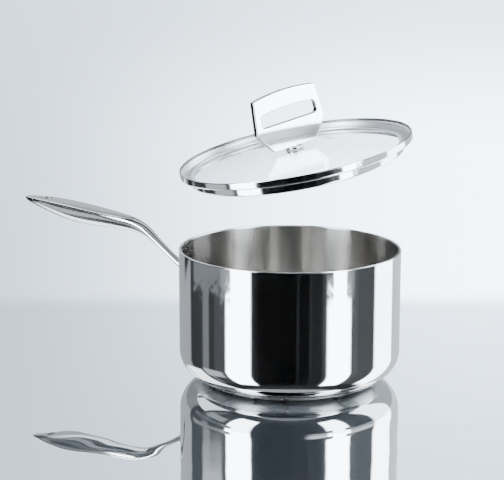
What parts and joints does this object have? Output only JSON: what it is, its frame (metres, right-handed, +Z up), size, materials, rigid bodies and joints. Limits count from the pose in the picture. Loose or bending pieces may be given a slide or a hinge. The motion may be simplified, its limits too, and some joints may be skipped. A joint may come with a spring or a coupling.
{
  "type": "saucepan with glass lid",
  "caption": "Straight-sided stainless steel saucepan with a long cast handle, a sealed heat-spreading base and a lift-off domed glass lid in a steel ring with a slotted grip.",
  "frame": {"origin": "centre of the pan's base, on the surface it stands on", "axes": "+Z up along the pan's axis, -X along the handle, +Y to the left of someone who holds the handle and faces the pan"},
  "size_m": [0.3647, 0.1705, 0.2197],
  "materials": {
    "polished_steel": "mirror-polished stainless steel",
    "pan_steel": "stainless steel, mirror-polished outside and satin-brushed inside",
    "copper_core": null,
    "base_steel": "stainless steel with a turned satin underside",
    "clear_glass": "clear tempered glass",
    "clear_silicone": "translucent clear silicone",
    "grey_silicone": "grey silicone",
    "fastener_steel": "plain stainless steel"
  },
  "bodies": {
    "pan": {"pan_body": "pan_steel", "base_core_disc": "copper_core", "base_cap": "base_steel", "handle": "polished_steel", "handle_weld": "polished_steel"},
    "lid": {"lid_ring": "polished_steel", "lid_seal": "clear_silicone", "lid_glass": "clear_glass", "lid_handle": "polished_steel", "lid_spacer": "polished_steel", "upper_silicone_washer": "grey_silicone", "lower_silicone_washer": "grey_silicone", "plate_washer": "fastener_steel", "spring_washer": "fastener_steel", "lid_screw": "fastener_steel"}
  },
  "joints": [
    {"name": "lid_lift", "type": "hinge", "parent": "pan", "child": "lid", "pos_m": [-0.19531, -0.28956, 0.15657], "axis": [0.829, -0.5592, 0], "range_deg": [-11, 12]}
  ]
}
